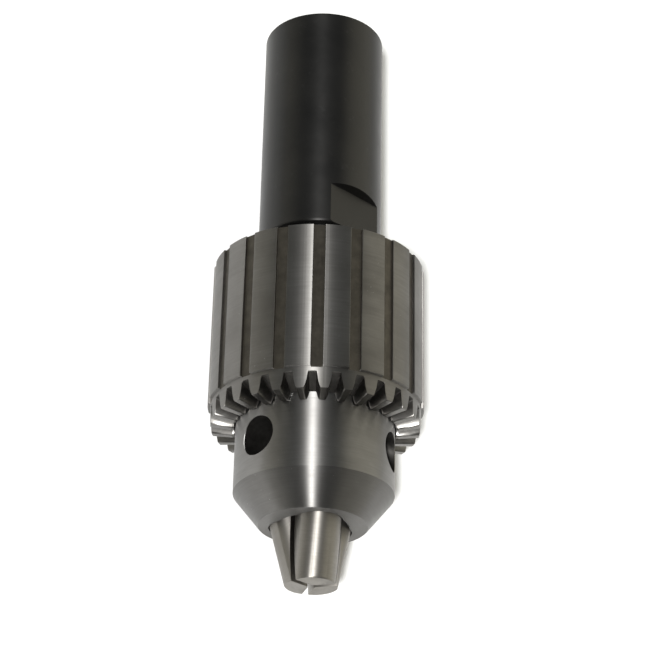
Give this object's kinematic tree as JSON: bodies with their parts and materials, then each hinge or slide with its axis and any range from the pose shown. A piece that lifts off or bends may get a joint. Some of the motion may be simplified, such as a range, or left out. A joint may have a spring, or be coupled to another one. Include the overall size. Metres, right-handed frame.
{
  "type": "drill chuck",
  "caption": "Keyed drill chuck on a straight shank, with a fluted sleeve, bevel ring gear and self-centring jaws that move when the sleeve turns.",
  "frame": {"origin": "centre of the shank's free end face", "axes": "the chuck's axis is Y, the shank's end face looks along +Y and the nose points to -Y; jaw 1 is at the top, +Z"},
  "size_m": [0.0432, 0.1242, 0.0432],
  "materials": {
    "black_oxide": "black-oxide steel, satin",
    "polished_steel": "fine-turned and polished steel",
    "ground_steel": "ground steel with fine marks round it",
    "nut_steel": "turned steel, oiled",
    "jaw_steel": "hardened and ground steel"
  },
  "bodies": {
    "body": {"shank_arbor": "black_oxide", "chuck_body": "polished_steel"},
    "sleeve": {"sleeve": "ground_steel", "nut_half_a": "nut_steel", "nut_half_b": "nut_steel"},
    "jaw_1": {"jaw_1": "jaw_steel"},
    "jaw_2": {"jaw_2": "jaw_steel"},
    "jaw_3": {"jaw_3": "jaw_steel"}
  },
  "joints": [
    {"name": "sleeve_turn", "type": "hinge", "parent": "body", "child": "sleeve", "pos_m": [0, -0.083, 0], "axis": [0, -1, 0], "range_deg": [-521, 4898]},
    {"name": "jaw_1_slide", "type": "slide", "parent": "body", "child": "jaw_1", "axis": [0, 0.9659, 0.2588], "range_m": [-0.0023, 0.0216]},
    {"name": "jaw_2_slide", "type": "slide", "parent": "body", "child": "jaw_2", "axis": [0.2241, 0.9659, -0.1294], "range_m": [-0.0023, 0.0216]},
    {"name": "jaw_3_slide", "type": "slide", "parent": "body", "child": "jaw_3", "axis": [-0.2241, 0.9659, -0.1294], "range_m": [-0.0023, 0.0216]}
  ],
  "couplings": [
    {"joint": "jaw_1_slide", "follows": "sleeve_turn", "m_per_rad": 0.00025266},
    {"joint": "jaw_2_slide", "follows": "sleeve_turn", "m_per_rad": 0.00025266},
    {"joint": "jaw_3_slide", "follows": "sleeve_turn", "m_per_rad": 0.00025266}
  ]
}
